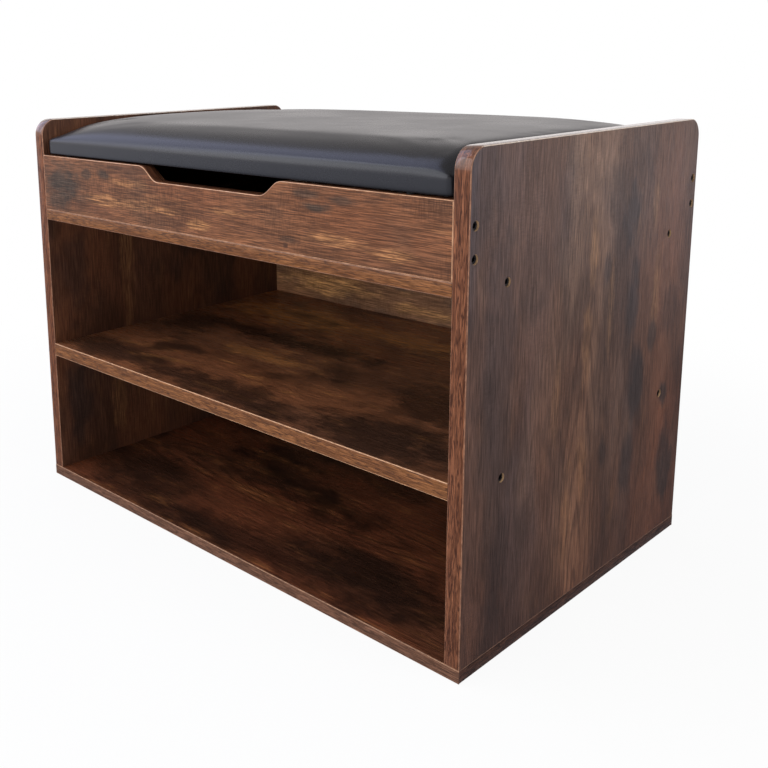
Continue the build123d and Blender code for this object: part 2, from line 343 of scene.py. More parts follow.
gold = greater(decor, times(decor, gold_zones, given["Gold"]), given["Gold Zone"])
gold = times(decor, gold, plus(decor, times(decor, fine_lines, 0.85), 0.15))
smoke = greater(decor, times(decor, smoke_clouds, given["Smoke"]), given["Smoke Zone"])
colour = blend(decor, times(decor, tone_zones, ZONE_SHARE), given["Wood"], given["Deep"])
colour = blend(decor, times(decor, warm_zones, ZONE_SHARE), colour, given["Warm"])
colour = blend(decor, gold, colour, given["Golden"])
colour = blend(decor, smoke, colour, given["Smoke Tint"])
colour = blend(decor, times(decor, rings, given["Arch"]), colour, given["Deep"])

lined = tinted(decor, colour, fine_lines, (0.52, 0.50, 0.48), (1.48, 1.46, 1.43))
colour = blend(decor, given["Lines"], colour, lined)
colour = tinted(decor, colour, hair_lines, (0.71, 0.70, 0.69), (1.29, 1.28, 1.27))
colour = tinted(decor, colour, times(decor, saw_marks, given["Lines"]), (1, 1, 1), (0.58, 0.57, 0.56))
dark_lines = greater(decor, pores, times(decor, long_veins, 0.8))
colour = blend(decor, times(decor, dark_lines, given["Lines"]), colour, given["Deep"])
shine = plus(decor, times(decor, fine_lines, -0.06), times(decor, smoke_clouds, 0.05))
shine = plus(decor, shine, times(decor, pores, 0.12))
height = sum_of(decor, "SUBTRACT", fine_lines, pores)
fill(decor, result, {"Colour": colour, "Shine": shine, "Height": height})
print("decor group:", len(decor.nodes), "nodes")

# %% [markdown]
# Some clouds of the print are landmarks: the dark patch at the left end of the front panel, or the long smoky
# streak down the right side. A second group draws one such cloud, an oval with a ragged edge.

# %% Single cloud group
CLOUD_RAGGEDNESS = 2.0
CLOUD_FADE = (1.15, 0.35)

cloud_inputs = {"Place": Vector((0, 0, 0)), "Centre": Vector((0, 0, 0)), "Size": Vector((0.02, 0.02, 1)),
                "Strength": 0.8}
cloud, given, result = new_group("smoky cloud", cloud_inputs, {"Mask": float})
away = vector_sum(cloud, "SUBTRACT", given["Place"], given["Centre"])
reach = vector_sum(cloud, "LENGTH", vector_sum(cloud, "DIVIDE", away, given["Size"]))
edge = noise(cloud, stretched(cloud, given["Place"], 34, 52), detail=5, rough=0.6)
reach = plus(cloud, reach, times(cloud, plus(cloud, edge, -0.5), CLOUD_RAGGEDNESS))
fill(cloud, result, {"Mask": times(cloud, ramp(cloud, reach, *CLOUD_FADE), given["Strength"])})
print("cloud group:", len(cloud.nodes), "nodes")

# %% [markdown]
# Each board's finish turns the frame's coordinates so that X lies along its grain: upright on the sides,
# across the bench on the rest. Landmark clouds are then laid on, each with its centre, its half length and
# half width in millimetres along and across the grain, and its strength.

# %% Board finish
UPRIGHT_GRAIN = (0, math.pi / 2, 0)
FRONT_GRAIN = (math.pi / 2, 0, 0)
FLAT_GRAIN = (0, 0, 0)
SPAN_ALONG = 0
SPAN_ACROSS = 1
TONE_WANDER = 0.36
RIGHT_THROUGH = 1000.0


def tone_ramp(tree, place, direction, low, high, tones):
    """Colours that follow one direction of the grain, with soft wandering borders."""
    wander = plus(tree, noise(tree, stretched(tree, place, 9, 20), detail=4), -0.5)
    span = {"Value": coordinate(tree, place, direction), "From Min": low, "From Max": high}
    share = add_node(tree, "ShaderNodeMapRange", span).outputs["Result"]
    share = plus(tree, share, times(tree, wander, TONE_WANDER))
    made = add_node(tree, "ShaderNodeValToRGB", {"Fac": share})
    stops = made.color_ramp.elements
    while len(stops) < len(tones):
        stops.new(1.0)
    for stop, (position, tone) in zip(stops, tones.items()):
        stop.position = position
        stop.color = tone
    return made.outputs["Color"]


def cloud_zone(tree, place, clouds):
    """The joined mask of clouds of (along, across, half length, half width, strength)."""
    zone = None
    for along, across, length, width, strength in clouds:
        centre = (along * MM, across * MM, 0)
        size = (length * MM, width * MM, RIGHT_THROUGH)
        values = {"Place": place, "Centre": centre, "Size": size, "Strength": strength}
        mask = use_group(tree, cloud, values)["Mask"]
        zone = greater(tree, zone, mask) if zone else mask
    return zone


def print_amounts(seed, smoke, gold, lines, arch=0.0, arch_centre=0.0):
    """How much of each pattern a print has, by the names that its group gives them."""
    return {"Seed": seed, "Smoke": smoke, "Gold": gold, "Lines": lines,
            "Arch": arch, "Arch Centre": arch_centre}


def board_finish(name, grain, amounts, colours, tones=None, shade=None, roughness=0.38, **clouds):
    """A decor board: tones set its colour across the grain, a painted shade darkens it along it, and clouds
    fill its zones.
    """
    material, tree, shader = new_material(name, Specular_IOR_Level=0.16)
    place = turned(tree, object_place(tree), grain)
    values = {"Place": place, **amounts, **colours}
    if tones:
        values["Wood"] = tone_ramp(tree, place, *tones)
    for kind, label in (("golden", "Gold Zone"), ("smoky", "Smoke Zone")):
        values[label] = cloud_zone(tree, place, clouds[kind])
    printed = use_group(tree, decor, values)
    colour = printed["Colour"]
    if "knots" in clouds:
        colour = blend(tree, cloud_zone(tree, place, clouds["knots"]), colour, colours["Deep"])
    # A shade, where given, is painted shade multiplied over the print.
    if shade:
        colour = blend(tree, 1.0, colour, tone_ramp(tree, place, *shade), "MULTIPLY")
    shine = plus(tree, printed["Shine"], roughness)
    normal = bumped(tree, printed["Height"], 0.2)
    fill(tree, shader, {"Base Color": colour, "Roughness": shine, "Normal": normal})
    return material


print("amounts of a print:", list(print_amounts(0.0, 0.0, 0.0, 0.0)))

# %% [markdown]
# The right side is the best seen board. Grey brown at its front edge, it turns golden in the middle and
# redder behind, and a painted shade darkens it towards its foot. A broad smoky streak runs down behind
# the middle.

# %% Sides
FRONT_FACE = cad_box[0][1]
REAR_FACE = -FRONT_FACE
right_tones = (SPAN_ACROSS, FRONT_FACE, REAR_FACE, {
    0.00: screen(86, 75, 77), 0.20: screen(94, 79, 78), 0.36: screen(111, 89, 78), 0.48: screen(140, 110, 92),
    0.60: screen(116, 92, 80), 0.72: screen(88, 74, 71), 0.82: screen(124, 84, 66), 1.00: screen(94, 70, 62),
})
# Painted shade: the right side is multiplied darker and warmer towards its foot.
right_painted_shade = (SPAN_ALONG, cad_box[0][2], cad_box[1][2], {
    0.0: (0.80, 0.57, 0.44, 1), 0.35: (0.90, 0.76, 0.66, 1), 0.65: (0.99, 0.95, 0.93, 1), 1.0: (1, 1, 1, 1),
})
right_streak = [
    (360, 62, 50, 22, 0.80), (270, 72, 50, 17, 0.75), (190, 88, 45, 19, 0.90), (110, 78, 45, 15, 0.75),
]
right_smoke = right_streak + [
    (160, 150, 16, 10, 0.80), (230, 118, 18, 10, 0.70), (310, 20, 20, 10, 0.65),
    (80, 165, 50, 20, 0.75), (130, 30, 22, 10, 0.75), (200, -150, 200, 30, 0.50),
]
right_gold = [
    (330, -5, 40, 9, 0.75), (240, -10, 35, 10, 0.70), (130, -10, 45, 11, 0.65),
    (90, -35, 50, 10, 0.55), (280, 30, 50, 7, 0.55), (270, 120, 50, 9, 0.60),
    (360, 110, 30, 7, 0.50), (200, -60, 50, 8, 0.45), (70, 50, 30, 10, 0.50),
]
side_finish_right = board_finish(
    "decor side right", UPRIGHT_GRAIN, print_amounts(0.7, 0.45, 0.15, 0.32, 0.42, -0.015),
    print_colours((56, 39, 33), (96, 70, 57), (104, 76, 62), (150, 114, 84), (60, 53, 53)),
    right_tones, right_painted_shade, smoky=right_smoke, golden=right_gold)
side_finish_left = board_finish(
    "decor side left", UPRIGHT_GRAIN, print_amounts(2.9, 0.6, 0.35, 0.28, 0.4, 0.03),
    print_colours((58, 38, 30), (92, 60, 45), (110, 68, 47), (142, 98, 64), (54, 41, 37)),
    smoky=[(290, 20, 50, 45, 0.70), (250, -160, 70, 22, 0.60), (90, -165, 60, 22, 0.80)],
    golden=[(250, -85, 80, 12, 0.65), (80, -105, 60, 14, 0.55)])
print("clouds on the right side:", len(right_smoke) + len(right_gold))

# %% [markdown]
# The front panel is the most lined board, with a dark patch at its left end, small clouds right of the notch
# and one knot. The boards inside are redder, with gold at the shelf's rear that is partly a painted
# reflection, and the rear ones are paler, with painted light and painted shadow on the back board.

# %% Front, shelf, base and back
front_smoke = [
    (-246, -366, 50, 28, 0.95), (-200, -379, 12, 7, 0.75), (-168, -382, 12, 8, 0.85),
    (-262, -348, 22, 20, 0.75), (-215, -352, 30, 8, 0.45), (112, -344, 12, 4, 0.50),
    (133, -386, 20, 5, 0.70), (143, -375.5, 22, 6, 0.90), (175, -384, 16, 5, 0.65),
]
front_gold = [
    (-150, -353, 80, 8, 0.50), (-120, -374, 40, 6, 0.40), (-60, -352, 35, 5, 0.50), (-10, -343, 22, 6, 0.75),
    (30, -360, 30, 4, 0.40), (170, -350, 40, 6, 0.50), (230, -345, 30, 6, 0.45),
]
front_finish = board_finish(
    "decor front", FRONT_GRAIN, print_amounts(1.3, 0.40, 0.2, 0.68),
    print_colours((72, 47, 35), (121, 79, 54), (118, 73, 48), (176, 126, 82), (62, 52, 45)),
    smoky=front_smoke, golden=front_gold, knots=[(108, -338.5, 3.5, 3, 1.0)])
# The third cloud, beside the left side, is painted shade where the shelf meets that side; the rest are print.
shelf_smoke_and_corner_shade = [
    (-80, 4, 190, 26, 0.90), (200, -60, 100, 70, 0.80), (-235, -20, 60, 60, 0.80),
    (-20, -170, 190, 36, 0.80), (190, -160, 120, 55, 0.86), (-220, -165, 80, 36, 0.75),
]
# The golden clouds at the shelf's rear are partly print and partly a painted reflection of the lit back
# board.
shelf_finish = board_finish(
    "decor shelf", FLAT_GRAIN, print_amounts(4.1, 0.85, 0.5, 0.45, 0.4, 0.05),
    print_colours((78, 50, 36), (134, 88, 63), (150, 94, 62), (222, 152, 88), (42, 30, 25)), roughness=0.30,
    smoky=shelf_smoke_and_corner_shade,
    golden=[(-150, 90, 130, 45, 1.00), (50, 95, 160, 30, 0.80), (-60, -60, 90, 18, 0.55)])
base_smoke = [
    (150, -130, 110, 50, 0.75), (-210, -120, 70, 50, 0.60), (40, 40, 80, 30, 0.60), (20, -165, 200, 26, 0.62),
]
base_finish = board_finish(
    "decor base", FLAT_GRAIN, print_amounts(5.6, 0.9, 0.5, 0.45, 0.5, -0.06),
    print_colours((48, 30, 22), (94, 57, 40), (124, 70, 47), (176, 116, 70), (26, 20, 18)), roughness=0.30,
    smoky=base_smoke,
    golden=[(-60, -80, 70, 12, 0.45), (10, -40, 60, 10, 0.40), (-120, -30, 50, 9, 0.35)])
# Back board: the golden clouds above the shelf are painted light, the smoky ones above them painted shadow.
back_finish = board_finish(
    "decor back", FRONT_GRAIN, print_amounts(6.2, 0.7, 0.4, 0.5, 0.3, -0.22),
    print_colours((92, 66, 50), (134, 98, 74), (146, 102, 70), (206, 154, 98), (76, 68, 64)),
    smoky=[(-60, -225, 60, 20, 0.90), (60, -205, 50, 20, 0.80), (-230, -245, 50, 14, 0.70)],
    golden=[(-190, -192, 90, 16, 0.85), (-30, -183, 60, 9, 0.65)])
print("board finishes:", [m.name for m in bpy.data.materials if m.name.startswith("decor")])

# %% [markdown]
# ## Edge strips
#
# The board edges carry thin plastic strips with a coarser print: reddish brown, with dark broken lines that
# wander along the strip. A plain noise would look like dust, so the lines are drawn as veins and broken up.
# The strip over the top of each side is rubbed smooth, so a coat grows there with the height.

# %% Strip group and finishes
STRIP_MAP = "strip"
RUBBED_HEIGHTS = (0.414, 0.426)
DASH_GAPS = (0.35, 1.0)

strip_inputs = {"Place": Vector((0, 0, 0)), "Light": screen(122, 78, 56), "Red": screen(94, 58, 42),
                "Pore": screen(58, 32, 23)}
strip, given, result = new_group("strip print", strip_inputs, PRINT_OUTPUTS)
tone = grain_noise(strip, given["Place"], 22, 250, 0.35, 0.65, detail=3)
streaks = grain_noise(strip, given["Place"], 60, 1000, 0.40, 0.60, detail=3, rough=0.6)
broken = ramp(strip, noise(strip, stretched(strip, given["Place"], 140, 600)), 0.35, 0.55, *DASH_GAPS)
dashes = times(strip, veins(strip, given["Place"], 44, 540, 0.07), broken)
colour = blend(strip, tone, given["Red"], given["Light"])
colour = tinted(strip, colour, streaks, (0.68, 0.66, 0.64), (1.32, 1.30, 1.27))
colour = blend(strip, times(strip, dashes, 0.9), colour, given["Pore"])
height = sum_of(strip, "SUBTRACT", streaks, times(strip, dashes, 1.5))
fill(strip, result, {"Colour": colour, "Shine": times(strip, dashes, 0.2), "Height": height})


def strip_finish(name, grain=FLAT_GRAIN, map_name=None, rubbed=None, roughness=0.22, **colours):
    """An edge strip whose print runs along X once turned, or along its own map, with a coat where rubbed."""
    material, tree, shader = new_material(name, Specular_IOR_Level=0.12, Coat_Roughness=0.06)
    source = object_place(tree)
    if map_name:
        source = add_node(tree, "ShaderNodeUVMap", uv_map=map_name).outputs["UV"]
    tones = {label: screen(*tone) for label, tone in colours.items()}
    printed = use_group(tree, strip, {"Place": turned(tree, source, grain), **tones})
    shine = plus(tree, printed["Shine"], roughness)
    normal = bumped(tree, printed["Height"], 0.15)
    fill(tree, shader, {"Base Color": printed["Colour"], "Roughness": shine, "Normal": normal})
    if rubbed:
        coat = ramp(tree, coordinate(tree, object_place(tree), 2), *rubbed)
        tree.links.new(coat, shader["Coat Weight"])
    return material


strip_across = strip_finish("strip across", Light=(124, 82, 52), Red=(104, 67, 44), Pore=(72, 45, 31))
strip_base = strip_finish("strip base", Light=(112, 80, 64), Red=(96, 68, 54), Pore=(72, 50, 40))
strip_along_depth = strip_finish(
    "strip along depth", (0, 0, math.pi / 2), Light=(82, 55, 44), Red=(66, 43, 36), Pore=(42, 28, 24))
strip_wrapped = strip_finish("strip wrapped", map_name=STRIP_MAP, rubbed=RUBBED_HEIGHTS)
print("strip group:", len(strip.nodes), "nodes")

# %% [markdown]
# Where a strip was trimmed flush, its arris shows as a pale hairline, which has a finish of its own. So have
# the cut walls of the holes, the bare board under the lid, and the small metal and rubber parts. Such
# surfaces are never quite even, so one function mingles two colours and varies the shine.

# %% Arrises, metal and rubber
ARRIS_GRAIN = 160
SATIN = (0.3, 0.5)
CHALKY = (0.75, 0.9)


def mottled_finish(name, first, second, grain, shine, bump=0.1, stretch=1.0, **shader_values):
    """A finish of two mingled colours, with its roughness between two limits and a fine grain of its own."""
    material, tree, shader = new_material(name, **shader_values)
    place = stretched(tree, object_place(tree), stretch, 1.0)
    share = ramp(tree, noise(tree, place, grain, detail=4, rough=0.6), 0.35, 0.65)
    fine = noise(tree, place, grain * 7, detail=3)
    colour = blend(tree, share, screen(*first), screen(*second))
    roughness = ramp(tree, fine, 0.3, 0.7, *shine)
    fill(tree, shader, {"Base Color": colour, "Roughness": roughness, "Normal": bumped(tree, fine, bump)})
    return material


def arris(name, first, second):
    """The finish of a trimmed strip's edge."""
    return mottled_finish(name, first, second, ARRIS_GRAIN, SATIN)


arris_finish = arris("worn arris", (206, 160, 124), (172, 126, 94))
soft_arris = arris("soft arris", (150, 106, 80), (116, 78, 58))
# The top arris is pale board, made near white by a painted highlight of light from above.
top_arris_highlight = arris("top arris with painted highlight", (228, 212, 198), (204, 184, 166))
base_arris = arris("base arris", (168, 128, 100), (136, 100, 78))
dull_arris = arris("dull arris", (128, 92, 70), (100, 70, 54))
hole_finish = mottled_finish("cut hole wall", (186, 152, 116), (152, 120, 88), 500, CHALKY, 0.3)
fibre_finish = mottled_finish("bare fibreboard", (172, 140, 104), (158, 126, 92), 900, CHALKY, 0.3)
screw_finish = mottled_finish("blackened screw", (46, 46, 48), (28, 28, 30), 700, SATIN, Metallic=0.9)
hinge_finish = mottled_finish(
    "zinc plate", (176, 176, 172), (148, 148, 146), 260, (0.28, 0.46), stretch=0.2, Metallic=1.0)
staple_finish = mottled_finish(
    "staple wire", (170, 168, 160), (140, 138, 132), 900, (0.3, 0.45), Metallic=1.0)
bumper_finish = mottled_finish(
    "bumper rubber", (20, 20, 21), (12, 12, 13), 500, (0.6, 0.8), Specular_IOR_Level=0.2)
print("finishes so far:", len(bpy.data.materials))

# %% [markdown]
# ## Boards
#
# The flat boards, the hinges and the bumpers are right as they come from the frame, so they could be copied
# and bevelled, but gain nothing from it. They only get their finish.

# %% Boards from the frame
frame_finishes = {
    base_finish: ["base_panel", "compartment_floor"],
    shelf_finish: ["middle_shelf"],
    back_finish: ["back_rail", "back_board"],
    fibre_finish: ["lid_board"],
    bumper_finish: ["lid_bumpers"],
    hinge_finish: [part + side for part in ("hinge_rail_leaf_", "hinge_lid_leaf_", "hinge_pin_")
                   for side in ("left", "right")],
}
for finish, node_names in frame_finishes.items():
    for node_name in node_names:
        nodes[node_name].data.materials.clear()
        nodes[node_name].data.materials.append(finish)
    print(finish.name, "on", node_names)

# %% [markdown]
# In the sunk screw holes of the sides the print is cut through and the pale board shows. A mask could paint
# that, but the walls are faces of their own, so a copy of each side takes a second finish on the faces that
# lie close to a screw's axis. The places of the screws are read from the frame.

# %% Sides with cut holes
HOLE_REACH = 5 * MM
HOLE_SLOT = 1
WALL_TILT = 0.5
WELD = 0.002 * MM
SMOOTH_TURN = math.radians(35)


def frame_copy(node_name, weld=True):
    """A working copy of a frame node's mesh, with its loose triangles joined unless told otherwise."""
    copy = bmesh.new()
    copy.from_mesh(nodes[node_name].data)
    if weld:
        bmesh.ops.remove_doubles(copy, verts=copy.verts, dist=WELD)
    return copy


def loose_solids(node_name):
    """The lowest and highest corner of each loose solid in a frame node."""
    copy = frame_copy(node_name)
    waiting = set(copy.verts)
    boxes = []
    while waiting:
        front = [waiting.pop()]
        solid = []
        while front:
            vert = front.pop()
            solid.append(vert.co.copy())
            linked = {edge.other_vert(vert) for edge in vert.link_edges} & waiting
            waiting -= linked
            front.extend(linked)
        boxes.append(tuple(Vector(pick(c[i] for c in solid) for i in range(3)) for pick in (min, max)))
    copy.free()
    return sorted(boxes, key=lambda box: tuple(round(c, 5) for c in box[0]))


def to_mesh(name, made, smooth_turn=None):
    """Turn a worked mesh into mesh data, smooth but for turns sharper than an angle, if one is given."""
    mesh = bpy.data.meshes.new(name)
    made.to_mesh(mesh)
    made.free()
    if smooth_turn:
        mesh.shade_smooth()
        mesh.set_sharp_from_angle(angle=smooth_turn)
    return mesh


def finished_piece(name, made, finishes, replaced):
    """Turn a worked mesh into a piece of the carcass that stands for frame nodes."""
    mesh = to_mesh(name, made, SMOOTH_TURN)
    for finish in finishes:
        mesh.materials.append(finish)
    piece = add_object(name, mesh)
    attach(piece, "carcass")
    if replaced:
        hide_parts(*replaced)


def side_board(side, finish):
    """A side board whose screw holes show bare fibreboard inside."""
    node_name = "side_panel_" + side
    axes = [((low + high) / 2).yz for low, high in loose_solids("side_screws_" + side)]
    copy = frame_copy(node_name, weld=False)
    walls = [face for face in copy.faces if abs(face.normal.x) < WALL_TILT
             and any((face.calc_center_median().yz - axis).length < HOLE_REACH for axis in axes)]
    for face in walls:
        face.material_index = HOLE_SLOT
    print(node_name, "hole wall faces:", len(walls))
    finished_piece("board_" + side, copy, [finish, hole_finish], [node_name])


side_board("right", side_finish_right)
side_board("left", side_finish_left)

# %% [markdown]
# ## Arrises
#
# A pale hairline runs along the top of the front panel and its notch, down its ends, and along every strip.
# It is a real shape, a bevel less than a millimetre wide, so it catches the light as well as showing its
# colour. The bevel goes only on edges that lie on the outer face: the inner ones are glued to the board.

# %% Straight strips
ARRIS_WIDTH = 0.7 * MM
ARRIS_SLOT = 1
NEAR = MM / 2
LEFT = Vector((-1, 0, 0))
RIGHT = Vector((1, 0, 0))
FRONT = Vector((0, -1, 0))
REAR = Vector((0, 1, 0))
DOWN = Vector((0, 0, -1))
UP = Vector((0, 0, 1))


def bevel_edges(copy, edges):
    """Bevel edges, with the arris finish on the new faces."""
    bmesh.ops.bevel(copy, geom=edges, offset=ARRIS_WIDTH, offset_type="OFFSET", segments=2, profile=0.5,
                    affect="EDGES", clamp_overlap=True, material=ARRIS_SLOT)


def strip_block(copy, low, high, outward):
    """Add a strip between two corners, with its level arrises bevelled on the side that faces outward."""
    before = set(copy.faces)
    bmesh.ops.create_cube(copy, size=1.0)
    block = [face for face in copy.faces if face not in before]
    corners = {vert for face in block for vert in face.verts}
    middle = (Vector(low) + Vector(high)) / 2
    size = Vector(high) - Vector(low)
    for vert in corners:
        vert.co = middle + Vector(a * b for a, b in zip(vert.co, size))
    reach = max(vert.co.dot(outward) for vert in corners)
    edges = {edge for face in block for edge in face.edges}
    outer = [edge for edge in edges if all(reach - vert.co.dot(outward) < NEAR for vert in edge.verts)]
    bevel_edges(copy, [edge for edge in outer if abs(edge.verts[0].co.z - edge.verts[1].co.z) < NEAR])


def front_strip(name, node_name, edge_finish):
    """The straight strip on the front edge of a shelf or floor."""
    copy = bmesh.new()
    strip_block(copy, *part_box(node_name), FRONT)
    finished_piece(name, copy, [strip_across, edge_finish], [node_name])


def base_strips():
    """The four strips round the base: the long ones in front and behind, and the short ones between them."""
    low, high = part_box("base_edge_band")
    core_low, core_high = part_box("base_panel")
    made = bmesh.new()
    strip_block(made, low, (high[0], core_low[1], high[2]), FRONT)
    strip_block(made, (low[0], core_high[1], low[2]), high, REAR)
    finished_piece("strips_base_long", made, [strip_base, base_arris], ["base_edge_band"])
    made = bmesh.new()
    strip_block(made, (core_high[0], core_low[1], low[2]), (high[0], core_high[1], high[2]), RIGHT)
    strip_block(made, (low[0], core_low[1], low[2]), (core_low[0], core_high[1], high[2]), LEFT)
    finished_piece("strips_base_short", made, [strip_along_depth, dull_arris], [])


front_strip("strip_shelf", "shelf_edge_band", arris_finish)
front_strip("strip_floor", "floor_edge_band", soft_arris)
base_strips()

# %% [markdown]
# The strips of the sides and of the front panel bend round their boards. Their print has to follow the bends,
# so each gets a map of its own, with the strip's length along and its width across, in metres.

# %% Bent strips and front panel
SHARP_TURN = math.radians(40)
FLAT_TURN = math.radians(0.3)
TOP_ARRIS_SLOT = 2
ON_FACE = MM / 20


def merged_copy(node_name):
    """A working copy of a frame node with its flat faces made whole."""
    copy = frame_copy(node_name)
    bmesh.ops.dissolve_limit(copy, angle_limit=FLAT_TURN, verts=copy.verts, edges=copy.edges)
    return copy


def bevel_where(copy, test):
    """Bevel the sharp edges whose two ends both pass a test of place."""
    def chosen(edge):
        sharp = len(edge.link_faces) == 2 and edge.calc_face_angle() > SHARP_TURN
        return sharp and all(test(vert.co) for vert in edge.verts)
    bevel_edges(copy, [edge for edge in copy.edges if chosen(edge)])


def wrapped_strip(node_name, board_node, map_place):
    """A strip that bends round a board, with its free edges bevelled and its map given by a function."""
    def spot(place):
        return tuple(round(c / MM, 2) for c in place)

    copy = merged_copy(node_name)
    glued = {spot(vert.co) for vert in nodes[board_node].data.vertices}
    bevel_where(copy, lambda place: spot(place) not in glued)
    bmesh.ops.triangulate(copy, faces=copy.faces)
    layer = copy.loops.layers.uv.new(STRIP_MAP)
    for face in copy.faces:
        for loop in face.loops:
            loop[layer].uv = map_place(loop.vert.co)
    return copy


def side_strip(side):
    """The strip up the front of a side, over its top and down the rear, its top arris with a painted
    highlight.
    """
    node_name = "side_edge_band_" + side
    low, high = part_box(node_name)
    height = high[2] - low[2]
    depth = high[1] - low[1]

    def map_place(place):
        rise = place.z - low[2]
        over = place.y - low[1]
        nearest = min(over, depth - over, height - rise)
        if nearest == over:
            return rise, place.x
        if nearest == depth - over:
            return 2 * height + depth - rise, place.x
        return height + over, place.x

    copy = wrapped_strip(node_name, "side_panel_" + side, map_place)
    for face in copy.faces:
        if face.material_index == ARRIS_SLOT and face.calc_center_median().z > high[2] - ARRIS_WIDTH:
            face.material_index = TOP_ARRIS_SLOT
    finishes = [strip_wrapped, soft_arris, top_arris_highlight]
    finished_piece("strip_side_" + side, copy, finishes, [node_name])


def notch_strip():
    """The strip along the top of the front panel and through its notch."""
    node_name = "front_panel_edge_band"
    copy = wrapped_strip(node_name, "front_panel", lambda place: place.xy)
    finished_piece("strip_front_panel", copy, [strip_wrapped, arris_finish], [node_name])


def front_board():
    """The front panel, with the arris at its ends and foot bevelled on the face side."""
    low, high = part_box("front_panel")

    def at_face_end(place):
        at_end = min(place.x - low[0], high[0] - place.x) < ON_FACE
        return place.y - low[1] < ON_FACE and (at_end or place.z - low[2] < ON_FACE)

    copy = merged_copy("front_panel")
    bevel_where(copy, at_face_end)
    finished_piece("board_front", copy, [front_finish, arris_finish], ["front_panel"])


side_strip("left")
side_strip("right")
notch_strip()
front_board()

# %% [markdown]
# ## Screws and staples
#
# Identical small pieces are made once and repeated by Geometry Nodes. The tree takes a cloud of points, sets
# one copy on each, turned to the point's own directions with a random twist, and makes the copies real. The
# places are read from the frame: each loose solid in a node of screws or staples gives one point.


# %% Repeat tree
def point_vector(tree, name):
    """A vector stored on the points under a name."""
    made = add_node(tree, "GeometryNodeInputNamedAttribute", {"Name": name}, data_type="FLOAT_VECTOR")
    return made.outputs["Attribute"]


def repeat_tree():
    """A Geometry Nodes tree that sets a piece on every point."""
    tree = bpy.data.node_groups.new("repeat on points", "GeometryNodeTree")
    tree.is_modifier = True
    sockets = {}
    kinds = {"Geometry": "Geometry", "Piece": "Object", "Finish": "Material", "Twist": "Float", "Seed": "Int"}
    for label, kind in kinds.items():
        made = tree.interface.new_socket(label, in_out="INPUT", socket_type="NodeSocket" + kind)
        sockets[label] = made.identifier
    tree.interface.new_socket("Geometry", in_out="OUTPUT", socket_type="NodeSocketGeometry")
    given = tree.nodes.new("NodeGroupInput").outputs
    inputs = {"Vector": point_vector(tree, "facing")}
    upright = add_node(tree, "FunctionNodeAlignRotationToVector", inputs, axis="Z")
    inputs = {"Rotation": upright.outputs[0], "Vector": point_vector(tree, "along")}
    aligned = add_node(tree, "FunctionNodeAlignRotationToVector", inputs, axis="X", pivot_axis="Z")
    inputs = {"Min_001": times(tree, given["Twist"], -1.0), "Max_001": given["Twist"], "Seed": given["Seed"]}
    twist = add_node(tree, "FunctionNodeRandomValue", inputs, data_type="FLOAT")
    inputs = {"Axis": (0, 0, 1), "Angle": socket_of(twist.outputs, "Value_001")}
    spin = add_node(tree, "FunctionNodeAxisAngleToRotation", inputs)
    inputs = {"Rotation": aligned.outputs[0], "Rotate By": spin.outputs[0]}
    twisted = add_node(tree, "FunctionNodeRotateRotation", inputs, rotation_space="LOCAL")
    piece = add_node(tree, "GeometryNodeObjectInfo", {"Object": given["Piece"]})
    inputs = {"Points": given["Geometry"], "Instance": piece.outputs["Geometry"],
              "Rotation": twisted.outputs[0]}
    copies = add_node(tree, "GeometryNodeInstanceOnPoints", inputs)
    real = add_node(tree, "GeometryNodeRealizeInstances", {"Geometry": copies.outputs["Instances"]})
    inputs = {"Geometry": real.outputs["Geometry"], "Material": given["Finish"]}
    finished = add_node(tree, "GeometryNodeSetMaterial", inputs)
    tree.links.new(finished.outputs["Geometry"], tree.nodes.new("NodeGroupOutput").inputs["Geometry"])
    return tree, sockets


def repeated_piece(name, source_mesh, points, finish, body, replaced, twist, seed):
    """Repeat a mesh on points of (place, facing, along), as one piece on a body."""
    source = add_object(name + "_source", source_mesh)
    cloud_mesh = bpy.data.meshes.new(name)
    cloud_mesh.from_pydata([place for place, _, _ in points], [], [])
    for label, index in (("facing", 1), ("along", 2)):
        attribute = cloud_mesh.attributes.new(label, "FLOAT_VECTOR", "POINT")
        for entry, point in zip(attribute.data, points):
            entry.vector = point[index]
    carrier = add_object(name + "_points", cloud_mesh)
    modifier = carrier.modifiers.new("repeat", "NODES")
    modifier.node_group = repeater
    for label, value in (("Piece", source), ("Finish", finish), ("Twist", twist), ("Seed", seed)):
        modifier[repeat_sockets[label]] = value
    evaluated = carrier.evaluated_get(bpy.context.evaluated_depsgraph_get())
    mesh = bpy.data.meshes.new_from_object(evaluated)
    for leftover in (carrier, source):
        bpy.data.objects.remove(leftover)
    mesh.name = name
    mesh.materials.clear()
    mesh.materials.append(finish)
    piece = add_object(name, mesh)
    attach(piece, body)
    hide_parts(replaced)
    print(name, "copies:", len(points), "triangles:", sum(len(p.vertices) - 2 for p in mesh.polygons))


repeater, repeat_sockets = repeat_tree()
print("repeat tree inputs:", list(repeat_sockets))

# %% [markdown]
# A socket screw is a turned shape, so its outline is spun about its axis. The hexagonal socket is sunk from
# the top: the head's disc is left open, and two six-sided rings lead down to the socket's floor.

# %% Socket screws
TINY = MM / 1000


def bridge(made, first, second):
    """Close the band between two rings of points, which may meet in one point."""
    for step in range(len(first)):
        following = (step + 1) % len(first)
        corners = list(dict.fromkeys((first[step], first[following], second[following], second[step])))
        if len(corners) > 2:
            made.faces.new(corners)


def turned_mesh(outline, steps):
    """Spin an outline of (radius, height) about Z into a closed mesh."""
    spun = bmesh.new()
    rings = []
    angles = [2 * math.pi * step / steps for step in range(steps)]
    for radius, height in outline:
        if radius < TINY:
            rings.append([spun.verts.new((0, 0, height))] * steps)
            continue
        rings.append([spun.verts.new((radius * math.cos(a), radius * math.sin(a), height)) for a in angles])
    for lower, upper in zip(rings, rings[1:]):
        bridge(spun, lower, upper)
    bmesh.ops.recalc_face_normals(spun, faces=spun.faces)
    return spun


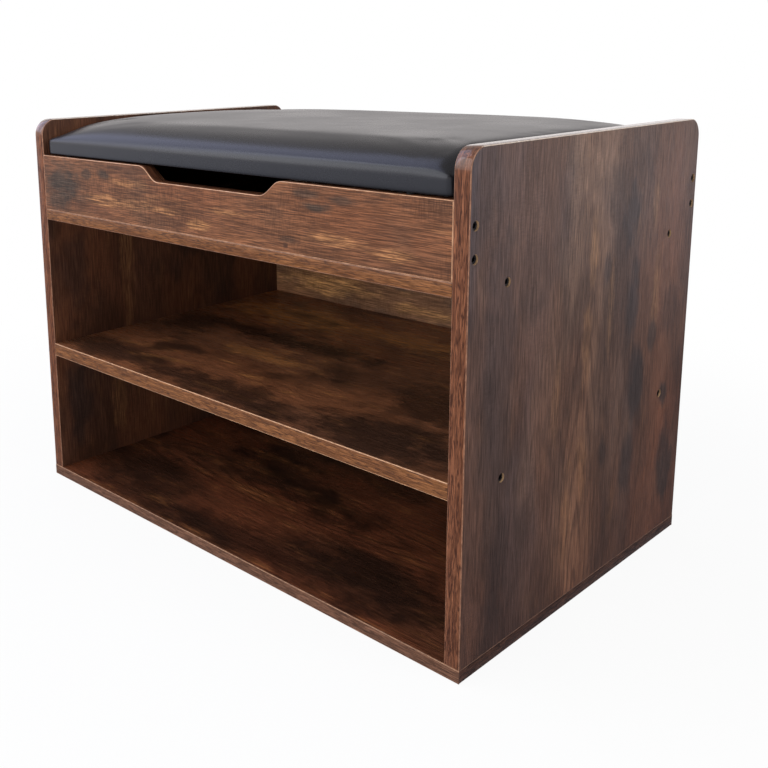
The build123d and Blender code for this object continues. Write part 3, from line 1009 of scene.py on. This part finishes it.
def hexagon_radius(angle, across_flats):
    """The reach of a hexagon at an angle, from the distance across its flats."""
    sector = math.pi / 3
    return across_flats / 2 / math.cos((angle + sector / 2) % sector - sector / 2)


def screw_size(box):
    """The head's radius and the length of a screw that fills a box."""
    size = sorted(high - low for low, high in zip(*box))
    return size[0] / 2, size[2]


def socket_screw_mesh(box):
    """A screw of the size of its frame solid, with its head's top at zero and its shank below."""
    head, length = screw_size(box)
    shank = head * 0.75
    tip = shank * 0.4
    tip_length = 5 * MM
    neck = 3 * MM
    head_depth = 2 * MM
    chamfer = 0.4 * MM
    socket_flats = head
    socket_mouth = socket_flats * 0.62
    socket_depths = (0.15 * MM, 2.0 * MM)
    outline = [(0, -length), (tip, -length), (shank, tip_length - length), (shank, -neck),
               (head, -head_depth), (head, -chamfer), (head - chamfer, 0), (socket_mouth, 0)]
    made = turned_mesh(outline, steps=48)
    mouth = [vert for vert in made.verts if abs(vert.co.z) < TINY and vert.co.xy.length < head * 0.7]
    mouth.sort(key=lambda vert: math.atan2(vert.co.y, vert.co.x))
    angles = [math.atan2(vert.co.y, vert.co.x) for vert in mouth]
    hexagon = [Vector((math.cos(a), math.sin(a))) * hexagon_radius(a, socket_flats) for a in angles]
    upper = mouth
    for depth in socket_depths:
        lower = [made.verts.new((*corner, -depth)) for corner in hexagon]
        bridge(made, upper, lower)
        upper = lower
    made.faces.new(upper)
    bmesh.ops.recalc_face_normals(made, faces=made.faces)
    return to_mesh("socket screw", made, SMOOTH_TURN)


def screw_points(node_name, facing):
    """One point at the head of each screw, facing out of its hole."""
    points = []
    for low, high in loose_solids(node_name):
        head = (low + high) / 2 + facing * abs((high - low).dot(facing)) / 2
        points.append((head, facing, facing.orthogonal()))
    return points


for node_name, facing in (("side_screws_left", LEFT), ("side_screws_right", RIGHT), ("base_screws", DOWN)):
    screw_mesh = socket_screw_mesh(loose_solids(node_name)[0])
    repeated_piece(node_name + "_sunk", screw_mesh, screw_points(node_name, facing), screw_finish, "carcass",
                   node_name, twist=math.pi, seed=len(node_name))

# %% [markdown]
# The hinge screws are countersunk with a cross slot, and the staples are bent wire. Both are small and mostly
# hidden, so a few dozen faces are enough.


# %% Hinge screws and staples
def cross_screw_mesh(box):
    """A countersunk screw of the size of its frame solid, with a cross slot in its head."""
    head, length = screw_size(box)
    shank = head * 0.535
    sink = 1.2 * MM
    slot_ring = head * 0.62
    slot_half = head * 0.14
    slot_depth = 0.7 * MM
    outline = [(0, -length), (shank, 2 * shank - length), (shank, -sink), (head, 0), (slot_ring, 0), (0, 0)]
    made = turned_mesh(outline, steps=32)
    for vert in made.verts:
        inside = abs(vert.co.z) < TINY and vert.co.xy.length < head * 0.7
        if inside and min(abs(vert.co.x), abs(vert.co.y)) < slot_half:
            vert.co.z -= slot_depth
    return to_mesh("cross screw", made)


def staple_extent(low, high):
    """A staple's longer and shorter reach in plan, which are its width and its wire."""
    return max(high.x - low.x, high.y - low.y), min(high.x - low.x, high.y - low.y)


def staple_mesh(low, high):
    """A wire staple of the size of its frame solid, crown at zero and legs up."""
    width, wire = staple_extent(low, high)
    leg = high.z - low.z - wire
    reach = (width - wire) / 2
    lean = wire / 8
    bend = (reach - wire * 0.3, -wire * 0.35)
    half_path = [(reach, leg), (reach, wire / 2), bend, (reach - wire, -wire / 2)]
    path = [(-x, z) for x, z in half_path] + half_path[::-1]
    corners = ((-1, -1), (1, -1), (1, 1), (-1, 1))
    made = bmesh.new()
    rings = []
    for x, z in path:
        side = math.copysign(1, -x)
        if z > 0:
            ring = [(x + a * wire / 2, b * wire / 2, z) for a, b in corners]
        else:
            ring = [(x + a * side * lean, b * wire / 2, z + a * side * wire / 2) for a, b in corners]
        rings.append([made.verts.new(place) for place in ring])
    for first, second in zip(rings, rings[1:]):
        bridge(made, first, second)
    made.faces.new(rings[0])
    made.faces.new(rings[-1])
    bmesh.ops.recalc_face_normals(made, faces=made.faces)
    return to_mesh("staple", made)


def staple_points():
    """One point under the fold for each staple, lined up with its crown."""
    points = []
    for low, high in loose_solids("cover_staples"):
        middle = (low + high) / 2
        along = RIGHT if high.x - low.x > high.y - low.y else REAR
        crown = low.z + staple_extent(low, high)[1]
        points.append((Vector((middle.x, middle.y, crown)), UP, along))
    return points


for node_name, facing, body in (("hinge_rail_screws", UP, "carcass"), ("hinge_lid_screws", DOWN, "seat_lid")):
    cross_mesh = cross_screw_mesh(loose_solids(node_name)[0])
    repeated_piece(node_name + "_slotted", cross_mesh, screw_points(node_name, facing), hinge_finish, body,
                   node_name, twist=math.pi, seed=len(node_name))
staple = staple_mesh(*loose_solids("cover_staples")[0])
repeated_piece("staples_bent", staple, staple_points(), staple_finish, "seat_lid",
               "cover_staples", twist=math.radians(6), seed=11)

# %% [markdown]
# ## The padded lid
#
# The seat is a sheet of black coated cloth pulled over foam on a board, folded under and stapled. It stands
# straight along the board's edge, then rolls back along a quarter of an ellipse, wide in front and behind and
# tight at the ends, to a low crown. The corners are pulled down, the front right one least. It could be
# sculpted, but a net whose height is two edge profiles multiplied is even, and follows the lid's size.

# %% Lid sizes
lid_low, lid_high = (Vector(corner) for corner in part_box("seat_cover"))
board_low, board_high = (Vector(corner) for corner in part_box("lid_board"))
LID_MIDDLE = (lid_low + lid_high) / 2
HALF_LENGTH = (lid_high.x - lid_low.x) / 2
HALF_DEPTH = (lid_high.y - lid_low.y) / 2
FRONT_ROLL = 54 * MM
END_ROLL = 15 * MM
CORNER_DROP = 1.3
CORNER_REACH = 40 * MM
FULL_CORNER_REACH = 13 * MM
FULL_CORNER_FADE = 90 * MM
CORNER_RADIUS = 9 * MM
CROWN = 0.6 * MM
PAD_RISE = lid_high.z - board_high.z - CROWN


def roll(inset, width):
    """How far the pad has risen at an inset from an edge, from 0 to 1, along a quarter of an ellipse."""
    return math.sqrt(1 - (1 - min(inset / width, 1)) ** 2)


def eased(value):
    """A smooth step from 0 to 1."""
    share = min(max(value, 0), 1)
    return share * share * (3 - 2 * share)


def pad_height(x, y):
    """The top of the pad over the lid board, at a place from the lid's middle."""
    from_front = max(HALF_DEPTH - abs(y), 0)
    from_end = max(HALF_LENGTH - abs(x), 0)
    fullness = eased(0.5 + x / FULL_CORNER_FADE) * eased(0.5 - y / FULL_CORNER_FADE)
    reach = CORNER_REACH + (FULL_CORNER_REACH - CORNER_REACH) * fullness
    share = roll(from_front, FRONT_ROLL) * roll(from_end, END_ROLL)
    drop = CORNER_DROP * math.exp(-(from_front + from_end) / reach) * math.sqrt(share)
    crown = CROWN * math.cos(x / HALF_LENGTH * math.pi / 2) * math.cos(y / HALF_DEPTH * math.pi / 2)
    return PAD_RISE * share * (1 - drop) + crown


print("pad rises", round(pad_height(0, 0) / MM, 1), "mm over the board")

# %% [markdown]
# The net is closed: the top, a skirt down the board's edge, and the fold under it, which ends in a ring
# hidden in the board. Its lines crowd together near the edges, where the cover bends most.

# %% Lid net
NET_STEP = 4 * MM
EDGE_STEP = 0.8 * MM
EDGE_GROWTH = 1.35
EDGE_SOFT = 0.8 * MM
EDGE_SAG = 1.5 * MM
RIM_STEP = 2.2 * MM
SKIRT_FOOT = 5 * MM
FOLD_WIDTH = 22 * MM
FOLD_TUCK = 4 * MM


def rounded(x, y):
    """Pull a place in to the lid's rounded outline."""
    reach_x = HALF_LENGTH - CORNER_RADIUS
    reach_y = HALF_DEPTH - CORNER_RADIUS
    over_x = max(abs(x) - reach_x, 0)
    over_y = max(abs(y) - reach_y, 0)
    if over_x == 0 or over_y == 0:
        return x, y
    share = max(over_x, over_y) / math.hypot(over_x, over_y)
    return math.copysign(reach_x + over_x * share, x), math.copysign(reach_y + over_y * share, y)


def net_lines(half):
    """Places across the lid, close together at both edges and evenly spaced between."""
    inset = 0.0
    step = EDGE_STEP
    near_edge = []
    while step < NET_STEP:
        near_edge.append(half - inset)
        inset += step
        step *= EDGE_GROWTH
    count = round(2 * (half - inset) / NET_STEP)
    middle = [-(half - inset) + 2 * (half - inset) * number / count for number in range(count + 1)]
    return [-place for place in near_edge] + middle + near_edge[::-1]


def skirt_levels():
    """The inset and height of each ring from the rim down the skirt, under the fold and into the board."""
    foot = lid_low.z
    bend = EDGE_SOFT * 0.3
    hidden = 2 * board_low.z - foot
    skirt = [(0, board_high.z - RIM_STEP), (0, board_low.z + SKIRT_FOOT), (0, foot + 2 * EDGE_SOFT)]
    fold = [(bend, foot + bend), (EDGE_SOFT, foot), (FOLD_WIDTH / 2, foot), (FOLD_WIDTH, foot)]
    return skirt + fold + [(FOLD_WIDTH, hidden), (FOLD_WIDTH + FOLD_TUCK, hidden)]


def lid_net():
    """The lid's closed net, and the numbers of its points from the rim down, which are held."""
    net = bmesh.new()
    grid = []
    for y in net_lines(HALF_DEPTH):
        heights = [(x, board_high.z + pad_height(x, y)) for x in net_lines(HALF_LENGTH)]
        grid.append([net.verts.new((*rounded(x, y), height)) for x, height in heights])
    for row, next_row in zip(grid, grid[1:]):
        for column in range(len(row) - 1):
            net.faces.new([row[column], row[column + 1], next_row[column + 1], next_row[column]])
    rim = grid[0][:-1] + [line[-1] for line in grid[:-1]]
    rim += grid[-1][:0:-1] + [line[0] for line in grid[:0:-1]]
    held = list(rim)
    upper = rim
    for inset, height in skirt_levels():
        scale_x = (HALF_LENGTH - inset) / HALF_LENGTH
        scale_y = (HALF_DEPTH - inset) / HALF_DEPTH
        sag = EDGE_SAG if inset < 2 * EDGE_SOFT and height < board_low.z + 2 * EDGE_SOFT else 0
        lower = []
        for vert in rim:
            sagged = height - sag * max(-vert.co.y / HALF_DEPTH, 0)
            lower.append(net.verts.new((vert.co.x * scale_x, vert.co.y * scale_y, sagged)))
        bridge(net, lower, upper)
        held += lower
        upper = lower
    bmesh.ops.triangulate(net, faces=[net.faces.new(upper)], ngon_method="BEAUTY")
    for vert in net.verts:
        vert.co.x += LID_MIDDLE.x
        vert.co.y += LID_MIDDLE.y
    net.verts.index_update()
    held_numbers = [vert.index for vert in held]
    bmesh.ops.recalc_face_normals(net, faces=net.faces)
    return to_mesh("seat_pad", net), held_numbers


pad_mesh, held_numbers = lid_net()
print("lid net:", len(pad_mesh.vertices), "points, held", len(held_numbers))

# %% [markdown]
# A short cloth simulation with air pressure tightens the net as a real cover would be pulled. A cloth left
# to itself could swell, so each point's move is eased towards a small limit.

# %% Tighten the cover
CLOTH_FRAMES = 20
CLOTH_REACH = 1.5 * MM
CLOTH_SETTINGS = {
    "quality": 6, "mass": 0.25, "tension_stiffness": 40, "compression_stiffness": 40,
    "shear_stiffness": 20, "bending_stiffness": 2, "use_pressure": True, "uniform_pressure_force": 1.0,
    "vertex_group_mass": "stapled",
}


def tightened(mesh, held):
    """Where the net's points settle under a little air pressure, none further off than the cloth's reach."""
    trial = add_object("pad_trial", mesh.copy())
    trial.vertex_groups.new(name=CLOTH_SETTINGS["vertex_group_mass"]).add(held, 1.0, "REPLACE")
    cloth = trial.modifiers.new("cloth", "CLOTH")
    for label, value in CLOTH_SETTINGS.items():
        setattr(cloth.settings, label, value)
    cloth.settings.effector_weights.gravity = 0
    cloth.point_cache.frame_start = 1
    cloth.point_cache.frame_end = CLOTH_FRAMES
    for number in range(1, CLOTH_FRAMES + 1):
        bpy.context.scene.frame_set(number)
    settled = trial.evaluated_get(bpy.context.evaluated_depsgraph_get()).to_mesh()
    places = []
    for start, end in zip(mesh.vertices, settled.vertices):
        shift = end.co - start.co
        places.append(start.co + shift * CLOTH_REACH / (CLOTH_REACH + shift.length))
    bpy.context.scene.frame_set(1)
    bpy.data.objects.remove(trial)
    return places


settled_places = tightened(pad_mesh, held_numbers)
shifts = [(new - vert.co).length / MM for new, vert in zip(settled_places, pad_mesh.vertices)]
for vert, place in zip(pad_mesh.vertices, settled_places):
    vert.co = place
print("cloth moved the cover by up to", round(max(shifts), 2), "mm")

# %% [markdown]
# Where the cover is folded in at a corner it gathers. The gathers are ripples that fan round each corner,
# strongest low on the roll and fading towards the crown, so a simple wave of the angle is enough.

# %% Gathers
GATHER_DEPTH = 0.5 * MM
GATHER_REACH = 30 * MM
GATHER_CENTRE = 18 * MM
GATHERS_PER_TURN = 14
GATHER_FOOT = -0.6
GATHER_TOP = 1.1
GATHER_FADE = 1.5
GATHER_LIFT = 0.8


def add_gathers(mesh):
    """Ripple the cover round its corners, between a foot and a top that are shares of the pad's rise."""
    for vert in mesh.vertices:
        x, y = vert.co.xy - LID_MIDDLE.xy
        from_x = HALF_LENGTH - abs(x)
        from_y = HALF_DEPTH - abs(y)
        away = math.hypot(from_x, from_y)
        rise = (vert.co.z - board_high.z) / PAD_RISE
        if away > GATHER_REACH or rise < GATHER_FOOT:
            continue
        angle = math.atan2(GATHER_CENTRE - from_y, GATHER_CENTRE - from_x)
        fade = (1 - away / GATHER_REACH) ** GATHER_FADE
        fade *= min(1, max(0, GATHER_TOP - rise)) * min(1, rise - GATHER_FOOT)
        outward = Vector((math.copysign(1, x), math.copysign(1, y), GATHER_LIFT)).normalized()
        vert.co += outward * math.cos(angle * GATHERS_PER_TURN) * GATHER_DEPTH * fade


add_gathers(pad_mesh)
print("gathers up to", round(GATHER_DEPTH / MM, 1), "mm deep")

# %% [markdown]
# The cover is a smooth coated cloth, so its finish has only a very fine pebble, a soft shine that varies a
# little, and a deep black. A subdivision smooths the net once more, and the pad is hung on the lid.

# %% Cover finish and seat
PEBBLES_PER_METRE = 1150.0
PEBBLE_DISTANCE = 0.4 * MM

cover_finish, tree, shader = new_material(
    "black coated cloth", Specular_IOR_Level=0.5, Specular_Tint=(0.92, 0.93, 1.0, 1.0))
place = object_place(tree)
pebble_inputs = {"Vector": place, "Scale": PEBBLES_PER_METRE}
pebble = add_node(tree, "ShaderNodeTexVoronoi", pebble_inputs, feature="SMOOTH_F1").outputs["Distance"]
creases = noise(tree, place, 420, detail=4, rough=0.6)
clouding = noise(tree, place, 9, detail=3)
colour = blend(tree, clouding, screen(16, 16, 19), screen(24, 24, 27))
dullness = plus(tree, times(tree, clouding, 0.7), times(tree, creases, 0.3))
height = plus(tree, times(tree, pebble, 0.7), times(tree, creases, 0.5))
fill(tree, shader, {"Base Color": colour, "Roughness": ramp(tree, dullness, 0.3, 0.7, 0.25, 0.33),
                    "Normal": bumped(tree, height, 0.05, PEBBLE_DISTANCE)})

pad_mesh.materials.append(cover_finish)
pad_mesh.shade_smooth()
seat_pad = add_object("seat_pad", pad_mesh)
smoother = seat_pad.modifiers.new("smoother", "SUBSURF")
smoother.levels = 1
smoother.render_levels = 1
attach(seat_pad, "seat_lid")
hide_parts("seat_cover", "seat_foam")
print("seat pad:", len(pad_mesh.polygons), "faces before smoothing")

# %% [markdown]
# ## Studio
#
# The bench stands on a plain pale floor under soft light: a large lamp at the front left, a bluish one at the
# left, a low one in front that reaches into the bays, and one at the right. The low one isn't mirrored,
# because it would draw a hard line on the seat. Floor and surround are white to the camera and graded in
# reflections, so that the seat shows a horizon. As a light the surround is dimmer, so that colours keep
# their written level.

# %% Floor and surround
WHITE = (1, 1, 1, 1)
FLOOR_REACH = 6.0
FLOOR_DROP = 0.2 * MM
FLOOR_WHITENESS = 0.92
FLOOR_GLOSS = (0.25, 1.25)
FLOOR_GLOSS_TINT = (0.84, 0.87, 1.0, 1.0)
SURROUND_LIGHT = 0.42
SURROUND_GLOSS = (0.92, 0.3)
SURROUND_GLOSS_TINT = (1.0, 0.95, 0.94, 1.0)


def ray_kinds(tree):
    """Whether a ray comes straight from the camera, or off a glossy surface."""
    rays = tree.nodes.new("ShaderNodeLightPath").outputs
    return greater(tree, rays["Is Camera Ray"], rays["Is Transmission Ray"]), rays["Is Glossy Ray"]


def pale_floor():
    """A large pale disc under the bench, with a faint shadow near it, which fades to the white surround."""
    made = bmesh.new()
    bmesh.ops.create_circle(made, cap_ends=True, radius=FLOOR_REACH, segments=96)
    mesh = to_mesh("floor", made)
    material, tree, shader = new_material("pale floor", Roughness=0.9, Specular_IOR_Level=0.1)
    place = object_place(tree)
    speckle = noise(tree, place, 40, detail=3)
    tree.links.new(blend(tree, speckle, screen(243, 243, 242), screen(247, 247, 247)), shader["Base Color"])
    reach = vector_sum(tree, "LENGTH", place)
    straight, glossy = ray_kinds(tree)
    share = times(tree, ramp(tree, reach, 0.4, 1.0, FLOOR_WHITENESS, 1.0), straight)
    share = greater(tree, share, glossy)
    strength = blend(tree, straight, ramp(tree, reach, 0.6, 4.0, *FLOOR_GLOSS), WHITE)
    tint = blend(tree, straight, FLOOR_GLOSS_TINT, WHITE)
    glow = add_node(tree, "ShaderNodeEmission", {"Color": tint, "Strength": strength})
    output = tree.nodes["Material Output"].inputs["Surface"]
    lit = output.links[0].from_socket
    both = add_node(tree, "ShaderNodeMixShader", {0: share, 1: lit, 2: glow.outputs[0]})
    tree.links.new(both.outputs[0], output)
    mesh.materials.append(material)
    floor = add_object("floor", mesh)
    floor.location.z = -FLOOR_DROP
    floor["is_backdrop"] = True


def white_surround():
    """A world that is white to look at, dimmer overhead in reflections, and dimmer still as a light."""
    world = bpy.data.worlds.new("surround")
    world.use_nodes = True
    bpy.context.scene.world = world
    tree = world.node_tree
    upward = coordinate(tree, tree.nodes.new("ShaderNodeTexCoord").outputs["Generated"], 2)
    straight, glossy = ray_kinds(tree)
    mirrored = times(tree, glossy, ramp(tree, upward, 0.22, 0.46, *SURROUND_GLOSS))
    strength = greater(tree, greater(tree, straight, mirrored), SURROUND_LIGHT)
    tint = blend(tree, glossy, WHITE, SURROUND_GLOSS_TINT)
    fill(tree, tree.nodes["Background"].inputs, {"Strength": strength, "Color": tint})


pale_floor()
white_surround()
print("floor reaches", FLOOR_REACH, "m, surround:", bpy.context.scene.world.name)


# %% Lamps
def area_lamp(name, place, target, width, height, power, colour=(1, 1, 1), mirrored=True):
    """A soft lamp that points at a target."""
    lamp = bpy.data.lights.new(name, "AREA")
    lamp.shape = "RECTANGLE"
    lamp.size = width
    lamp.size_y = height
    lamp.energy = power
    lamp.color = colour
    holder = add_object(name, lamp)
    holder.location = place
    holder.visible_glossy = mirrored
    holder.rotation_euler = (Vector(target) - Vector(place)).to_track_quat("-Z", "Y").to_euler()


area_lamp("front_lamp", (-1.2, -2.4, 1.6), (0, 0, 0.2), 3.0, 2.6, 46, (0.94, 0.97, 1.0))
area_lamp("left_lamp", (-1.5, -0.5, 1.64), (0, 0, 0.4), 1.7, 2.4, 16, (0.62, 0.68, 1.0))
area_lamp("low_lamp", (0.5, -2.6, 0.55), (0, 0, 0.2), 1.2, 1.2, 26, mirrored=False)
area_lamp("right_lamp", (2.4, 0.2, 1.6), (0, 0, 0.25), 1.5, 1.5, 24, (0.92, 0.96, 1.0))
print("lamps:", [light.name for light in bpy.data.lights])

# %% [markdown]
# ## Sizes and finish
#
# The dressed bench should be no larger than the frame, but for the crown of the seat. Both boxes are
# measured, and how far the dressed one outgrows the frame is printed.

# %% Finish
visual_box = [list(corner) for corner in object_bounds()]
growth = [round((abs(v) - abs(c)) / MM, 2) for v, c in zip(sum(visual_box, []), sum(cad_box, []))]
print("visual box grows by", growth, "mm")
